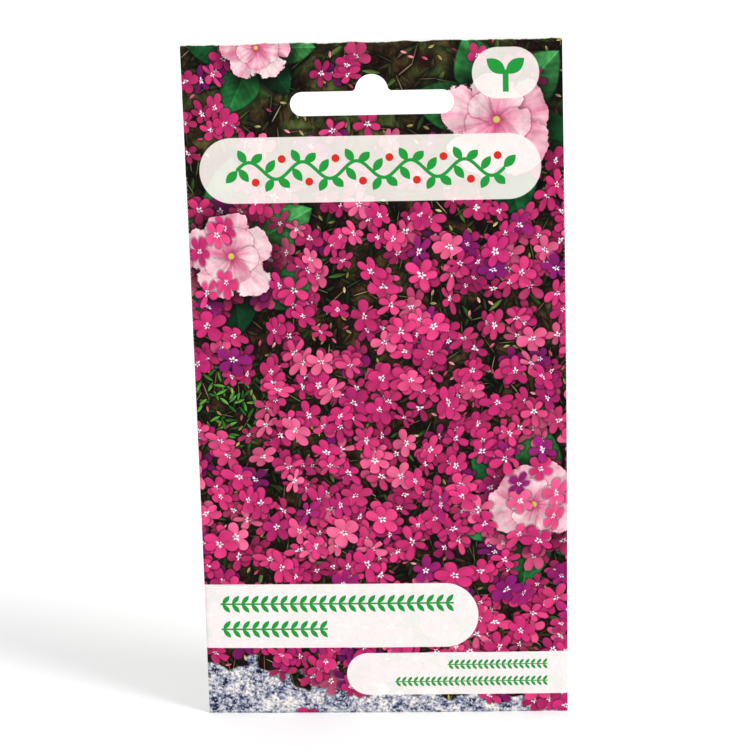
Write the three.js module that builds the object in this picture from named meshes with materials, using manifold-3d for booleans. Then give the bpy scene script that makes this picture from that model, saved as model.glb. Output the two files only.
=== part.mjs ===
// Paper seed packet with a punched header, standing on its opened bottom fold.
// Millimetres, +Z up, +X to the right seen from the front, the front faces -Y.
// The origin is the middle of the foot.
// The wrapper is two sheets of coated paper. The front sheet carries the front panel with one
// header layer, a left and a right flap folded round behind, a narrow foot panel folded under,
// and a bottom flap folded up from the foot. The flaps are glued to the outside of the back sheet,
// and the two header layers are glued to each other. Below the header the panels belly apart
// towards a lens-shaped foot, and the packet leans back a little over it.
// Each panel between two folds is a mesh of its own, a hair's breadth from the next.
// Inside are a small heat-sealed film sachet and the pelleted seed in it.

import * as THREE from "three";
import { mergeVertices } from "three/addons/utils/BufferGeometryUtils.js";
import Module from "manifold-3d";

const wasm = await Module();
wasm.setup();

// ---------- driving dimensions ----------
const WIDTH = 75;            // across the packet
const HEIGHT = 140;          // foot to top edge
const PAPER = 0.15;          // coated paper with its film
const GLUE = 0.05;           // a spread line of glue
const GAP = 0.02;            // faces that lie on each other
const FRONT_BELLY = 0.3;     // how far the front panel bows out at the foot
const BACK_BELLY = 5.15;     // how far the back panel bows out at the foot
const BELLY_TOP = 118;       // the panels lie flat on each other above this height
const LEAN = 3.4;            // how far the top edge stands behind the foot's front corners
const CORNER_R = 0.75;       // top corners

const SLOT_WIDTH = 32.4;     // Euro hang slot, end to end
const SLOT_BAR = 4.78;       // height of its bar
const SLOT_BOTTOM = 125.35;  // lower edge of the bar
const HUMP_R = 3.28;         // round hump on top of the bar
const HUMP_FILLET = 0.8;

const FLAP_WIDTH = 10;       // side flaps, outside on the back
const FLAP_TOP = 114;        // they end below the header
const BOTTOM_FLAP = 13;      // height of the bottom flap
const MITRE = 8.8;           // how far the bottom flap's ends slant in

const SACHET_HALF = 27;      // sachet, half width
const SACHET_TOP = 82;
const SACHET_SEAL = 4.5;     // sealed rim
const FILM = 0.06;
const PELLET_R = 0.5;

// ---------- layers ----------
const BODY_STACK = 2 * PAPER + GAP;                    // front and back panel at the side folds
const HEAD_STACK = 2 * PAPER + 2 * GAP + GLUE;         // with the glue between them in the header
const OVER_BACK = 2 * GAP + GLUE;                      // from the back panel out to a flap
const FOOT_BACK = BODY_STACK + BACK_BELLY + OVER_BACK + PAPER;
const Y_SHIFT = -(FOOT_BACK - FRONT_BELLY) / 2;        // the middle of the foot goes to y = 0

const clamp01 = (t) => Math.min(1, Math.max(0, t));
const smooth = (t) => { const s = clamp01(t); return s * s * (3 - 2 * s); };
const opening = (z) => 1 - smooth(z / BELLY_TOP);
const across = (x) => Math.max(0, 1 - (2 * x / WIDTH) ** 2);
const stack = (z) => BODY_STACK + (HEAD_STACK - BODY_STACK) * smooth((z - 114) / (BELLY_TOP - 114));
const frontFace = (x, z) => -FRONT_BELLY * opening(z) * across(x);
const backFace = (x, z) => stack(z) + BACK_BELLY * opening(z) * across(x);
const frontInner = (x, z) => frontFace(x, z) + PAPER;
const backInner = (x, z) => backFace(x, z) - PAPER;
const flapInner = (x, z) => backFace(x, z) + OVER_BACK;
const flapFace = (x, z) => flapInner(x, z) + PAPER;
const lean = (z) => LEAN * z / HEIGHT;

// ---------- helpers ----------
const steps = (a, b, n) => Array.from({ length: n + 1 }, (_, i) => a + (b - a) * i / n);

// A closed slab over a grid of (u, z): place gives x, low and high give its two faces in y.
function slab(us, zs, low, high, place = (u) => u) {
  const nu = us.length, nz = zs.length, pos = [], index = [];
  for (const face of [low, high]) {
    for (const z of zs) for (const u of us) {
      const x = place(u, z);
      pos.push(x, face(x, z) + Y_SHIFT + lean(z), z);
    }
  }
  const at = (side, i, j) => side * nu * nz + j * nu + i;
  const quad = (a, b, c, d) => index.push(a, b, c, a, c, d);
  for (let j = 0; j < nz - 1; j++) for (let i = 0; i < nu - 1; i++) {
    quad(at(0, i, j), at(0, i + 1, j), at(0, i + 1, j + 1), at(0, i, j + 1));
    quad(at(1, i, j), at(1, i, j + 1), at(1, i + 1, j + 1), at(1, i + 1, j));
  }
  for (let j = 0; j < nz - 1; j++) {
    quad(at(0, 0, j), at(0, 0, j + 1), at(1, 0, j + 1), at(1, 0, j));
    quad(at(0, nu - 1, j), at(1, nu - 1, j), at(1, nu - 1, j + 1), at(0, nu - 1, j + 1));
  }
  for (let i = 0; i < nu - 1; i++) {
    quad(at(0, i, 0), at(1, i, 0), at(1, i + 1, 0), at(0, i + 1, 0));
    quad(at(0, i, nz - 1), at(0, i + 1, nz - 1), at(1, i + 1, nz - 1), at(1, i, nz - 1));
  }
  const g = new THREE.BufferGeometry();
  g.setAttribute("position", new THREE.Float32BufferAttribute(pos, 3));
  g.setIndex(index);
  return g;
}

function solid(geometry) {
  const g = geometry.clone();
  g.deleteAttribute("normal");
  g.deleteAttribute("uv");
  const m = mergeVertices(g, 1e-6);
  return new wasm.Manifold(new wasm.Mesh({
    numProp: 3,
    vertProperties: new Float32Array(m.attributes.position.array),
    triVerts: new Uint32Array(m.index.array),
  }));
}

function geometryOf(manifold) {
  const mesh = manifold.getMesh();
  const g = new THREE.BufferGeometry();
  g.setAttribute("position", new THREE.Float32BufferAttribute(mesh.vertProperties, 3));
  g.setIndex(new THREE.Uint32BufferAttribute(mesh.triVerts, 1));
  return g;
}

// A shape drawn in (x, z) and extruded right through the packet along y.
function through(shape, segments = 12) {
  const g = new THREE.ExtrudeGeometry(shape, { depth: 30, bevelEnabled: false, curveSegments: segments });
  g.rotateX(Math.PI / 2);
  g.translate(0, 15, 0);
  return solid(g);
}

// ---------- outlines ----------
function hangSlot() {
  const r = SLOT_BAR / 2, e = SLOT_WIDTH / 2 - r;
  const z0 = SLOT_BOTTOM, z1 = SLOT_BOTTOM + SLOT_BAR;
  // the hump's circle is centred on the bar's upper edge; the fillet circle touches both
  const cx = Math.sqrt((HUMP_R + HUMP_FILLET) ** 2 - HUMP_FILLET ** 2);
  const a = Math.atan2(HUMP_FILLET, cx);
  const s = new THREE.Shape();
  s.moveTo(-e, z0);
  s.lineTo(e, z0);
  s.absarc(e, z0 + r, r, -Math.PI / 2, Math.PI / 2, false);
  s.lineTo(cx, z1);
  s.absarc(cx, z1 + HUMP_FILLET, HUMP_FILLET, -Math.PI / 2, -Math.PI + a, true);
  s.absarc(0, z1, HUMP_R, a, Math.PI - a, false);
  s.absarc(-cx, z1 + HUMP_FILLET, HUMP_FILLET, -a, -Math.PI / 2, true);
  s.lineTo(-e, z1);
  s.absarc(-e, z0 + r, r, Math.PI / 2, 3 * Math.PI / 2, false);
  return s;
}

function outline() {
  const w = WIDTH / 2, r = CORNER_R, h = HEIGHT;
  const s = new THREE.Shape();
  s.moveTo(-w - 1, -1);
  s.lineTo(w + 1, -1);
  s.lineTo(w + 1, h - 20);
  s.lineTo(w, h - 20);
  s.lineTo(w, h - r);
  s.absarc(w - r, h - r, r, 0, Math.PI / 2, false);
  s.lineTo(-w + r, h);
  s.absarc(-w + r, h - r, r, Math.PI / 2, Math.PI, false);
  s.lineTo(-w, h - 20);
  s.lineTo(-w - 1, h - 20);
  return s;
}

// ---------- paper ----------
// All layers share one grid of columns and rows, so their facets stay parallel where they meet.
const half = WIDTH / 2;
const columns = [...steps(-half, half, 20), -half + FLAP_WIDTH, half - FLAP_WIDTH, -half + PAPER, half - PAPER]
  .sort((p, q) => p - q);
const backFoot = PAPER + GAP;
const rows = [0, backFoot, 3, 6, 9, BOTTOM_FLAP, 20, 29, 39, 50, 62, 74, 84, 93, 101, 108, FLAP_TOP, BELLY_TOP, HEIGHT];
const between = (list, a, b) => list.filter((v) => v > a - 1e-6 && v < b + 1e-6);
const backRows = between(rows, backFoot, HEIGHT);
const flapRows = between(rows, backFoot, FLAP_TOP);

// a piece cut off a flap, as a prism along y
const cut = (points) => through(new THREE.Shape(points.map(([x, z]) => new THREE.Vector2(x, z))));
const mirrored = (points) => points.map(([x, z]) => [-x, z]).reverse();
const slot = through(hangSlot(), 10);
const edge = through(outline());

const frontPanel = solid(slab(columns, between(rows, 0, HEIGHT), frontFace, frontInner)).intersect(edge).subtract(slot);
const backPanel = solid(slab(
  between(columns, -half + PAPER, half - PAPER), backRows, backInner, backFace)).intersect(edge).subtract(slot);
const footPanel = slab(
  between(columns, -half + PAPER, half - PAPER), [0, PAPER],
  (x, z) => frontInner(x, z) + GAP, (x, z) => flapInner(x, z) - GAP);
const flapEnd = [[half - FLAP_WIDTH - 1, FLAP_TOP - 6], [half - FLAP_WIDTH + 4, FLAP_TOP + 1], [half - FLAP_WIDTH - 1, FLAP_TOP + 1]];
const flapFoot = [[half - FLAP_WIDTH - 1, -1], [half - 0.9, -1], [half - FLAP_WIDTH - 0.1, BOTTOM_FLAP + 0.5], [half - FLAP_WIDTH - 1, BOTTOM_FLAP + 0.5]];
function sideFlap(side) {
  const at = (a, b) => side > 0 ? between(columns, a, b) : between(columns, -b, -a);
  const turn = (points) => side > 0 ? points : mirrored(points);
  return solid(slab(at(half - FLAP_WIDTH, half), flapRows, flapInner, flapFace))
    .add(solid(slab(at(half - PAPER, half), flapRows, (x, z) => frontInner(x, z) + GAP / 2, (x, z) => flapInner(x, z) + PAPER / 2)))
    .subtract(cut(turn(flapEnd)))
    .subtract(cut(turn(flapFoot)));
}
const mitre = [[half - 2.4, -1], [half + 1, -1], [half + 1, BOTTOM_FLAP + 1], [half - 2.4 - MITRE, BOTTOM_FLAP + 1]];
const bottomFlap = solid(slab(
  between(columns, -half + PAPER, half - PAPER), between(rows, 0, BOTTOM_FLAP), flapInner, flapFace))
  .subtract(cut(mitre)).subtract(cut(mirrored(mitre)));

// ---------- glue ----------
const onBack = (xs, zs) => slab(xs, zs,
  (x, z) => backFace(x, z) + GAP, (x, z) => backFace(x, z) + GAP + GLUE);
const glueRows = between(rows, 20, 101);
const rightGlue = onBack([half - 7.5, half - 3.75], glueRows);
const leftGlue = onBack([-half + 3.75, -half + 7.5], glueRows);
const bottomGlue = onBack(between(columns, -22.5, 22.5), [6, 9, 11.5]);
const headGlue = solid(slab(
  [-half + 1.5, half - 1.5], [BELLY_TOP + 1, HEIGHT - 1.5],
  (x, z) => frontInner(x, z) + GAP, (x, z) => frontInner(x, z) + GAP + GLUE)).subtract(slot);

// ---------- sachet ----------
// The films lie together round a sealed rim and part over the seed.
const middle = (x, z) => (frontInner(x, z) + backInner(x, z)) / 2;
const pocket = (x, z) => {
  const u = clamp01((SACHET_HALF - SACHET_SEAL - Math.abs(x)) / 6);
  const low = clamp01((z - 0.8 - SACHET_SEAL) / 5), high = clamp01((SACHET_TOP - SACHET_SEAL - z) / 55);
  return 1.5 * smooth(u) * smooth(low) * smooth(high);
};
const sachetColumns = steps(-SACHET_HALF, SACHET_HALF, 18);
const sachetRows = [0.8, 3, 5.3, 7.5, 10.3, 13, 20, 32, 44, 56, 67, 77.5, SACHET_TOP];
const frontFilm = slab(sachetColumns, sachetRows,
  (x, z) => middle(x, z) - pocket(x, z) / 2 - GAP / 2 - FILM, (x, z) => middle(x, z) - pocket(x, z) / 2 - GAP / 2);
const backFilm = slab(sachetColumns, sachetRows,
  (x, z) => middle(x, z) + pocket(x, z) / 2 + GAP / 2, (x, z) => middle(x, z) + pocket(x, z) / 2 + GAP / 2 + FILM);

// ---------- pelleted seed ----------
// A small heap, one pellet deep, at the bottom of the sachet. The pellets press on each other.
let seed = 7;
const random = () => { seed = (seed * 16807) % 2147483647; return seed / 2147483647; };
const PITCH = 0.88;
const pellets = [];
for (let row = 0; row < 3; row++) {
  const count = 11 - 3 * row;
  for (let k = 0; k < count; k++) {
    const x = (k - (count - 1) / 2) * PITCH;
    const z = 11.6 + row * PITCH * 0.84;
    const g = new THREE.IcosahedronGeometry(PELLET_R * (0.97 + 0.06 * random()), 1);
    g.rotateX(random() * 3);
    g.rotateZ(random() * 3);
    g.translate(x, middle(x, z) + Y_SHIFT + lean(z), z);
    pellets.push(solid(g));
  }
}
const seeds = wasm.Manifold.union(pellets);

// ---------- the packet ----------
const look = (color, roughness, extra = {}) => new THREE.MeshStandardMaterial({ color, roughness, metalness: 0, ...extra });
const packet = new THREE.Group();
const add = (name, geometry, material) => {
  const mesh = new THREE.Mesh(geometry, material);
  mesh.name = name;
  packet.add(mesh);
};
const glue = look(0xe9e2cf, 0.5);
const film = look(0xe8ecee, 0.25);
const print = look(0xb03a72, 0.38);
add("front_panel", geometryOf(frontPanel), print);
add("back_panel", geometryOf(backPanel), look(0xf2efe9, 0.5));
add("foot_panel", footPanel, print);
add("bottom_flap", geometryOf(bottomFlap), print);
add("left_flap", geometryOf(sideFlap(-1)), print);
add("right_flap", geometryOf(sideFlap(1)), print);
add("left_flap_glue", leftGlue, glue);
add("right_flap_glue", rightGlue, glue);
add("bottom_flap_glue", bottomGlue, glue);
add("header_glue", geometryOf(headGlue), glue);
add("sachet_front_film", frontFilm, film);
add("sachet_back_film", backFilm, film);
add("seeds", geometryOf(seeds), look(0xb98a52, 0.8));

export default packet;
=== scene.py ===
"""A printed paper seed packet, standing on its opened bottom fold. All lengths in the shape part are millimetres."""
import math

import bpy
import numpy as np
from mathutils import Matrix, Vector
from mathutils.geometry import delaunay_2d_cdt


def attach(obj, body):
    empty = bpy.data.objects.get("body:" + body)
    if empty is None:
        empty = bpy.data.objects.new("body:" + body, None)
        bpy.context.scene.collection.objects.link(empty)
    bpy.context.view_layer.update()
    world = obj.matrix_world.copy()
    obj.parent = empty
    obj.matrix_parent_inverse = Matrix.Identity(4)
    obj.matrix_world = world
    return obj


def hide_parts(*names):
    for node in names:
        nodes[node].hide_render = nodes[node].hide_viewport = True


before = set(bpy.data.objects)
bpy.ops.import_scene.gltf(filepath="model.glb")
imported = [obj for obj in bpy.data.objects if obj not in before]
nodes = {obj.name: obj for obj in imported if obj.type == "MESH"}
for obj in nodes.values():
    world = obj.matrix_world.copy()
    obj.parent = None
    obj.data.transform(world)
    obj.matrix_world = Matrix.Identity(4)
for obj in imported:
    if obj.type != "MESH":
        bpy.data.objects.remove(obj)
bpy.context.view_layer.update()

TAU = 2 * math.pi

# ------------------------------------------------------------------ the packet's own surfaces
WIDTH, HEIGHT, PAPER, GLUE, GAP = 75.0, 140.0, 0.15, 0.05, 0.02
HALF = WIDTH / 2
FRONT_BELLY, BACK_BELLY, BELLY_TOP, LEAN = 0.3, 5.15, 118.0, 3.4
CORNER_R = 0.75
SLOT_WIDTH, SLOT_BAR, SLOT_BOTTOM, HUMP_R, HUMP_FILLET = 32.4, 4.78, 125.35, 3.28, 0.8
FLAP_WIDTH, FLAP_TOP, BOTTOM_FLAP = 10.0, 114.0, 13.0
SACHET_HALF, SACHET_TOP, SACHET_SEAL = 27.0, 82.0, 4.5
BODY_STACK = 2 * PAPER + GAP
HEAD_STACK = 2 * PAPER + 2 * GAP + GLUE
OVER_BACK = 2 * GAP + GLUE
Y_SHIFT = -(BODY_STACK + BACK_BELLY + OVER_BACK + PAPER - FRONT_BELLY) / 2


def smooth(t):
    s = np.clip(t, 0, 1)
    return s * s * (3 - 2 * s)


def opening(z):
    return 1 - smooth(np.asarray(z, float) / BELLY_TOP)


def across(x):
    return np.maximum(0, 1 - (np.asarray(x, float) / HALF) ** 2)


def stack(z):
    return BODY_STACK + (HEAD_STACK - BODY_STACK) * smooth((np.asarray(z, float) - 114) / 4)


def front_face(x, z):
    return -FRONT_BELLY * opening(z) * across(x)


def back_face(x, z):
    return stack(z) + BACK_BELLY * opening(z) * across(x)


def flap_face(x, z):
    return back_face(x, z) + OVER_BACK + PAPER


def base(z):
    return Y_SHIFT + LEAN * np.asarray(z, float) / HEIGHT


def bow(x, z):
    """The side edges are not quite straight: the packet bends a little to the right in the middle of its height."""
    return 0.19 * np.sin(math.pi * np.clip(z, 0, HEIGHT) / HEIGHT) + 0.11 * (x / HALF) * np.exp(-(((z - 78) / 38) ** 2))


# Paper is never quite even: slow waves, the sachet pressing through, the seed, and a few soft dents.
waves = np.random.default_rng(11)
WAVES = [(TAU / waves.uniform(17, 62), waves.uniform(0, TAU), waves.uniform(0, TAU)) for _ in range(9)]


def unevenness(x, z, turn=0.0):
    """Between 0 and 1."""
    total = 0
    for k, way, phase in WAVES:
        total = total + np.sin(k * (x * math.cos(way + turn) + z * math.sin(way + turn)) + phase + 3 * turn)
    return 0.5 + 0.5 * np.tanh(total / 2.6)


def dents(x, z, spots):
    total = 0
    for cx, cz, turn, long_, wide, deep in spots:
        u = ((x - cx) * math.cos(turn) + (z - cz) * math.sin(turn)) / long_
        v = (-(x - cx) * math.sin(turn) + (z - cz) * math.cos(turn)) / wide
        total = total + deep * np.exp(-u * u - v * v)
    return total


FRONT_DENTS = [(-29, 93, 0.5, 9, 1.3, 0.05), (24, 52, 2.3, 12, 1.6, 0.06), (-8, 40, 0.2, 16, 2.2, 0.04), (33, 20, 1.2, 6, 1.2, 0.05), (9, 96, 2.9, 10, 1.6, 0.04)]
BACK_DENTS = [(12, 88, 0.9, 11, 1.6, 0.06), (-15, 50, 2.5, 14, 2.0, 0.06), (4, 30, 0.1, 18, 2.2, 0.05)]


def sachet_relief(x, z):
    rim = smooth((SACHET_HALF + 0.4 - np.abs(x)) / 1.4) * smooth((SACHET_TOP + 0.4 - z) / 1.4)
    body = smooth((SACHET_HALF - SACHET_SEAL - np.abs(x)) / 3) * smooth((SACHET_TOP - SACHET_SEAL - z) / 3)
    seed = np.exp(-((x / 7.0) ** 2) - ((z - 13) / 3.2) ** 2)
    return 0.035 * rim + 0.05 * body + 0.06 * seed


def front_relief(x, z):
    """How far the front panel stands out of its plain shape, always outwards."""
    x, z = np.asarray(x, float), np.asarray(z, float)
    edge = smooth((HALF - np.abs(x)) / 5) * smooth(z / 12)
    body = smooth((116 - z) / 8)
    head = smooth((z - 116) / 8) * smooth((HALF - np.abs(x)) / 4) * smooth((HEIGHT - z) / 4)
    seam = np.exp(-(((z - 116.4) / 0.8) ** 2))
    out = edge * body * (0.10 * unevenness(x, z) + sachet_relief(x, z) + 0.05 - dents(x, z, FRONT_DENTS).clip(0, 0.05))
    return out + 0.012 * head * unevenness(x, z) - 0.0 * seam


def back_relief(x, z):
    x, z = np.asarray(x, float), np.asarray(z, float)
    edge = smooth((HALF - 1.5 - np.abs(x)) / 5) * smooth((z - 13.5) / 9)
    body = smooth((116 - z) / 8)
    head = smooth((z - 116) / 8) * smooth((HALF - np.abs(x)) / 4) * smooth((HEIGHT - z) / 4)
    clear = smooth((HALF - FLAP_WIDTH + 0.6 - np.abs(x)) / 3.0)  # flat under the flaps
    out = edge * clear * body * (0.10 * unevenness(x, z, 1.3) + sachet_relief(x, z) + 0.05 - dents(x, z, BACK_DENTS).clip(0, 0.05))
    return out + 0.012 * head * unevenness(x, z)


# ------------------------------------------------------------------ sheets of paper as closed meshes
def arc(cx, cz, r, a0, a1, n):
    return [(cx + r * math.cos(a0 + (a1 - a0) * i / n), cz + r * math.sin(a0 + (a1 - a0) * i / n)) for i in range(n + 1)]


def hang_slot():
    r, e = SLOT_BAR / 2, SLOT_WIDTH / 2 - SLOT_BAR / 2
    z0, z1 = SLOT_BOTTOM, SLOT_BOTTOM + SLOT_BAR
    cx = math.sqrt((HUMP_R + HUMP_FILLET) ** 2 - HUMP_FILLET**2)
    a = math.atan2(HUMP_FILLET, cx)
    p = [(-e + 2 * e * i / 36, z0) for i in range(36)]
    p += arc(e, z0 + r, r, -math.pi / 2, math.pi / 2, 20)
    n = 9
    p += [(e + (cx - e) * i / n, z1) for i in range(1, n)]
    p += arc(cx, z1 + HUMP_FILLET, HUMP_FILLET, -math.pi / 2, -math.pi + a, 6)
    p += arc(0, z1, HUMP_R, a, math.pi - a, 24)[1:]
    p += arc(-cx, z1 + HUMP_FILLET, HUMP_FILLET, -a, -math.pi / 2, 6)[1:]
    p += [(-cx + (cx - e) * i / n, z1) for i in range(1, n)]
    p += arc(-e, z0 + r, r, math.pi / 2, 3 * math.pi / 2, 20)[:-1]
    return p


def along(points, step):
    """Points every step or less round a closed outline, its corners kept."""
    out = []
    for (x0, z0), (x1, z1) in zip(points, points[1:] + points[:1]):
        n = max(1, math.ceil(math.hypot(x1 - x0, z1 - z0) / step))
        out += [(x0 + (x1 - x0) * i / n, z0 + (z1 - z0) * i / n) for i in range(n)]
    return out


def within(points, loop):
    x, z = points[:, 0], points[:, 1]
    inside = np.zeros(len(points), bool)
    for (x0, z0), (x1, z1) in zip(loop, loop[1:] + loop[:1]):
        if z0 != z1:
            crosses = ((z0 > z) != (z1 > z)) & (x < (x1 - x0) * (z - z0) / (z1 - z0) + x0)
            inside ^= crosses
    return inside


def distance(points, loop):
    a = np.array(loop, float)
    b = np.roll(a, -1, 0)
    best = np.full(len(points), 1e9)
    for p, q in zip(a, b):
        d = q - p
        t = np.clip(((points - p) @ d) / max(d @ d, 1e-12), 0, 1)
        best = np.minimum(best, np.linalg.norm(points - p - t[:, None] * d, axis=1))
    return best


def paper_sheet(name, outline, holes, columns, rows, place, uv_face, uv_back, uv_rim, clearance=0.3):
    """A closed sheet of paper. outline and holes are drawn in the sheet's own (u, v), and place(u, v, depth) lays a
    point of its face, or a point depth inside it, in the row frame. Slots: 0 the printed face, 1 the plain inside, 2 cut edges."""
    grid = np.array([(u, v) for v in rows for u in columns], float)
    keep = within(grid, outline)
    for loop in holes:
        keep &= ~within(grid, loop)
    grid = grid[keep]
    for loop in [outline, *holes]:
        grid = grid[distance(grid, loop) > clearance]
    flat, edges = [], []
    for loop in [outline, *holes]:
        first = len(flat)
        flat += [Vector(p) for p in loop]
        edges += [(first + i, first + (i + 1) % len(loop)) for i in range(len(loop))]
    flat += [Vector(p) for p in grid]
    points, _, faces, *_ = delaunay_2d_cdt(flat, edges, [], 0, 1e-5, False)
    points = np.array([p[:] for p in points], float)
    tri = np.array([f for f in faces if len(f) == 3], int)
    a, b, c = points[tri[:, 0]], points[tri[:, 1]], points[tri[:, 2]]
    area = (b[:, 0] - a[:, 0]) * (c[:, 1] - a[:, 1]) - (b[:, 1] - a[:, 1]) * (c[:, 0] - a[:, 0])
    tri = np.where(area[:, None] < 0, tri[:, ::-1], tri)
    middle = (a + b + c) / 3
    good = within(middle, outline) & (np.abs(area) > 1e-9)
    for loop in holes:
        good &= ~within(middle, loop)
    tri = tri[good]
    used = np.unique(tri)
    index = np.full(len(points), -1)
    index[used] = np.arange(len(used))
    points, tri = points[used], index[tri]
    n = len(points)
    outer = place(points[:, 0], points[:, 1], 0.0)
    inner = place(points[:, 0], points[:, 1], PAPER)
    # the face looks along its own normal, away from the inside
    e1, e2 = outer[tri[:, 1]] - outer[tri[:, 0]], outer[tri[:, 2]] - outer[tri[:, 0]]
    out = (outer - inner)[tri[:, 0]]
    if (np.einsum("ij,ij->i", np.cross(e1, e2), out)).sum() < 0:
        tri = tri[:, ::-1]
    half_edges = np.concatenate([tri[:, [0, 1]], tri[:, [1, 2]], tri[:, [2, 0]]])
    seen = {(int(p), int(q)) for p, q in half_edges}
    rim = [(p, q) for p, q in seen if (q, p) not in seen]
    follow = dict(rim)
    loops, left = [], set(follow)
    while left:
        start = min(left)
        loop, p = [], start
        while p in left:
            left.discard(p)
            loop.append(p)
            p = follow[p]
        loops.append(loop)
    quads, along_rim, run = [], [], 0.0
    for loop in loops:
        for p, q in zip(loop, loop[1:] + loop[:1]):
            step = float(np.linalg.norm(outer[p] - outer[q]))
            quads.append((q, p, p + n, q + n))
            along_rim.append((run + step, run, run, run + step))
            run += step
    faces = [tuple(map(int, t)) for t in tri] + [tuple(int(i) + n for i in t[::-1]) for t in tri] + quads
    mesh = bpy.data.meshes.new(name)
    mesh.from_pydata((np.concatenate([outer, inner]) * 0.001).tolist(), [], faces)
    slots = np.concatenate([np.zeros(len(tri)), np.ones(len(tri)), np.full(len(quads), 2)]).astype(np.int32)
    mesh.polygons.foreach_set("material_index", slots)
    mesh.polygons.foreach_set("use_smooth", np.ones(len(faces), bool))
    on_rim = {frozenset(e) for e in rim} | {frozenset((p + n, q + n)) for p, q in rim}
    sharp = np.array([frozenset(e.vertices) in on_rim for e in mesh.edges], bool)
    mesh.edges.foreach_set("use_edge_sharp", sharp)
    layer = mesh.uv_layers.new(name="OFBake")

    def fit(uv, box):
        low, span = points.min(0), np.ptp(points, axis=0)
        return box[0] + (uv[:, 0] - low[0]) / span[0] * (box[2] - box[0]), box[1] + (uv[:, 1] - low[1]) / span[1] * (box[3] - box[1])

    uv = np.zeros((len(mesh.loops), 2), np.float32)
    fu, fv = fit(points, uv_face)
    bu, bv = fit(points, uv_back)
    flat_tri = tri.ravel()
    k = len(flat_tri)
    uv[:k, 0], uv[:k, 1] = fu[flat_tri], fv[flat_tri]
    back_tri = tri[:, ::-1].ravel()
    uv[k : 2 * k, 0], uv[k : 2 * k, 1] = bu[back_tri], bv[back_tri]
    strip = np.array(along_rim, float).ravel() / max(run, 1e-9)
    side = np.tile([0.0, 0.0, 1.0, 1.0], len(quads))
    uv[2 * k :, 0] = uv_rim[0] + side * (uv_rim[2] - uv_rim[0])
    uv[2 * k :, 1] = uv_rim[1] + strip * (uv_rim[3] - uv_rim[1])
    layer.uv.foreach_set("vector", uv.ravel())
    mesh.validate()
    mesh.update()
    piece = bpy.data.objects.new(name, mesh)
    bpy.context.scene.collection.objects.link(piece)
    return piece


def stacked(x, y, z):
    return np.stack(np.broadcast_arrays(x, y, z), 1)


# The side folds are half turns round the glued edge: the front panel makes the first quarter and the flap the second.
# Above the flaps the edges are cut, so the turn opens out to nothing.
FOLD = 37.22       # |x| where the turn begins
UNDER = 0.25       # radius of the folds at the foot


def fold_radius(z):
    return flap_face(FOLD, z) / 2


def bent(z):
    return 1 - smooth((np.asarray(z, float) - (FLAP_TOP - 0.5)) / 1.0)


def round_foot(v):
    """From the height drawn on the sheet to (height, turn) on the quarter turn under the foot. The last 0.5 mm makes it."""
    run = np.where(v < 0.5, 0.5 - v, 0.0) / 0.5 * (0.25 + UNDER * math.pi / 2)
    turn = np.clip((run - 0.25) / UNDER, 0, math.pi / 2)
    z = np.where(v < 0.5, 0.5 - np.minimum(run, 0.25), v)
    return z, turn


def front_place(u, v, depth):
    z, under = round_foot(v)
    side, s = np.sign(u), np.abs(u)
    b = bent(z)
    r = fold_radius(z)
    end = HALF + b * (FOLD + r * math.pi / 2 - HALF)
    t = np.clip((s - FOLD) / (HALF - FOLD), 0, 1)
    run = t * (end - FOLD)
    bend = np.maximum(b / r, 1e-3)
    turn = run * bend
    big = 1 / bend
    flat_x = np.minimum(s, FOLD)
    x = np.where(t > 0, FOLD + (big - depth) * np.sin(turn), flat_x)
    y = np.where(t > 0, big - (big - depth) * np.cos(turn), depth)
    y = y + front_face(flat_x, z) * np.where(t > 0, np.cos(turn), 1) - front_relief(flat_x, z)
    y = y + np.where(under > 0, UNDER * (1 - np.cos(under)) - depth * (1 - np.cos(under)), 0)
    zz = np.where(under > 0, UNDER - (UNDER - depth) * np.sin(under), z)
    return stacked(side * x + bow(side * x, z), y + base(z), zz)


def back_place(u, v, depth):
    return stacked(u + bow(u, v), back_face(u, v) - depth + back_relief(u, v) + base(v), v)


def flap_place(side):
    def place(u, v, depth):
        """u runs from 0, at the middle of the side fold, inwards."""
        r = fold_radius(v)
        quarter = r * math.pi / 2
        turn = math.pi / 2 + np.clip(u / quarter, 0, 1) * math.pi / 2
        flat = np.maximum(u - quarter, 0)
        x = np.where(u < quarter, FOLD + (r - depth) * np.sin(turn), FOLD - flat)
        lift = 0.05 * smooth((u - 7.5) / 2.7) * smooth((v - 12) / 20) * unevenness(v * 0.7, v, 2.2)  # the free edge stands off a little
        y = np.where(u < quarter, r - (r - depth) * np.cos(turn), flap_face(FOLD - flat, v) - depth) + lift
        return stacked(side * x + bow(side * x, v), y + base(v), v)
    return place


def foot_place(u, v, depth):
    """v runs from 0 at the front fold to 1 at the back fold."""
    front = front_face(u, 0.0) + UNDER
    back = flap_face(u, UNDER) - UNDER
    return stacked(u, front + (back - front) * v + base(0.0), np.full_like(u, depth))


def bottom_place(u, v, depth):
    """v runs from 0 at the foot, round the back fold and up."""
    quarter = UNDER * math.pi / 2
    turn = np.clip(v / quarter, 0, 1) * math.pi / 2
    z = np.where(v < quarter, UNDER - (UNDER - depth) * np.cos(turn), UNDER + v - quarter)
    at = np.where(v < quarter, UNDER, UNDER + v - quarter)
    face = flap_face(u, at)
    y = np.where(v < quarter, face - UNDER + (UNDER - depth) * np.sin(turn), face - depth)
    lift = 0.06 * smooth((v - 10.5) / 2.5) * unevenness(u, u * 0.3, 0.7)
    return stacked(u + bow(u, z), y + lift + base(at), z)


def span(a, b, step):
    n = max(1, round((b - a) / step))
    return [a + (b - a) * i / n for i in range(n + 1)]


def mirror(points):
    return [(-x, z) for x, z in reversed(points)]


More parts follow.
